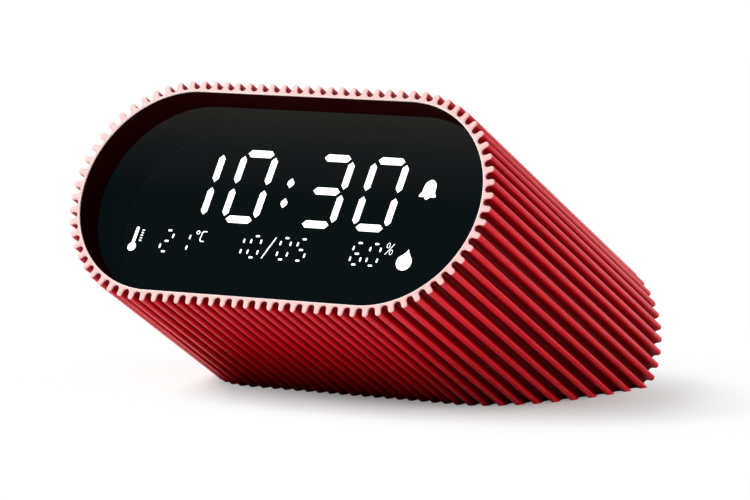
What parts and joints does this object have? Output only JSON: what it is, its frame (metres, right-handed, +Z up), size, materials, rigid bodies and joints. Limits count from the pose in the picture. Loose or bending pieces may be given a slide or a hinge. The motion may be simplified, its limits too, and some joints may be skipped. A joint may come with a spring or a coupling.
{
  "type": "alarm clock",
  "caption": "Bedside digital alarm clock: a ribbed pill-section sleeve tilted back on a flat-cut base, with a recessed gloss display and rear keys.",
  "frame": {"origin": "on the table, at the middle of the clock's bounding box", "axes": "+X to the viewer's right along the display, +Z up; the display faces -Y and is tilted 30 degrees up"},
  "size_m": [0.139, 0.1332, 0.0927],
  "materials": {
    "sleeve_red": "satin moulded ribs",
    "lens_black": "smoked gloss",
    "case_black": "fine moulded grain",
    "cover_black": "fine moulded grain",
    "key_grey": "satin",
    "slider_red": "satin",
    "pad_rubber": "matt",
    "adhesive_foam": "foam",
    "holder_white": "moulded",
    "lcd_glass": "polarised",
    "guide_clear": "clear acrylic",
    "circuit_green": "solder mask",
    "chip_black": "moulded epoxy",
    "socket_cream": "moulded",
    "strip_white": "solder mask",
    "steel": "zinc plated",
    "contact_tin": "tinned",
    "cell_can": "shrink sleeve",
    "magnet_grey": "sintered",
    "cone_film": "clear film",
    "flex_white": "flat flex",
    "lead_red": "insulation"
  },
  "bodies": {
    "clock": {"ribbed_sleeve": "sleeve_red", "display_lens": "lens_black", "lens_gasket": "adhesive_foam", "lcd_holder": "holder_white", "lcd_panel": "lcd_glass", "lcd_pins": "contact_tin", "light_guide": "guide_clear", "led_strip": "strip_white", "main_board": "circuit_green", "mcu_chip": "chip_black", "board_capacitors": "contact_tin", "ribbon_sockets": "socket_cream", "inner_case": "case_black", "base_plate": "case_black", "foot_pad": "pad_rubber", "ballast_plate": "steel", "battery_cradle": "case_black", "battery_cell": "cell_can", "back_cover": "cover_black", "control_board": "circuit_green", "tact_switches": "chip_black", "usb_socket_shell": "contact_tin", "usb_socket_tongue": "chip_black", "slide_switch_body": "contact_tin", "humidity_sensor": "chip_black", "speaker_frame": "steel", "speaker_magnet": "magnet_grey", "speaker_cone": "cone_film", "speaker_gasket": "adhesive_foam", "ribbon_cable": "flex_white", "battery_lead": "lead_red", "speaker_lead": "lead_red", "holder_screws": "steel", "board_screws": "steel", "cover_screws": "steel", "control_screws": "steel", "base_screws": "steel", "cradle_screws": "steel"},
    "mode_key": {"mode_button": "key_grey", "mode_plunger": "key_grey"},
    "set_key": {"set_button": "key_grey", "set_plunger": "key_grey"},
    "down_key": {"down_button": "key_grey", "down_plunger": "key_grey"},
    "up_key": {"up_button": "key_grey", "up_plunger": "key_grey"},
    "light_key": {"light_button": "key_grey", "light_plunger": "key_grey"},
    "alarm_slide": {"alarm_slider": "slider_red"}
  },
  "joints": [
    {"name": "mode_press", "type": "slide", "parent": "clock", "child": "mode_key", "axis": [0, -0.866, 0.5], "range_m": [0, 0.0005], "stiffness_N_per_m": 500, "springref_m": -0.0005},
    {"name": "set_press", "type": "slide", "parent": "clock", "child": "set_key", "axis": [0, -0.866, 0.5], "range_m": [0, 0.0005], "stiffness_N_per_m": 500, "springref_m": -0.0005},
    {"name": "down_press", "type": "slide", "parent": "clock", "child": "down_key", "axis": [0, -0.866, 0.5], "range_m": [0, 0.0005], "stiffness_N_per_m": 500, "springref_m": -0.0005},
    {"name": "up_press", "type": "slide", "parent": "clock", "child": "up_key", "axis": [0, -0.866, 0.5], "range_m": [0, 0.0005], "stiffness_N_per_m": 500, "springref_m": -0.0005},
    {"name": "light_press", "type": "slide", "parent": "clock", "child": "light_key", "axis": [0, -0.866, 0.5], "range_m": [0, 0.0005], "stiffness_N_per_m": 500, "springref_m": -0.0005},
    {"name": "alarm_slide_travel", "type": "slide", "parent": "clock", "child": "alarm_slide", "axis": [1, 0, 0], "range_m": [0, 0.002]}
  ]
}
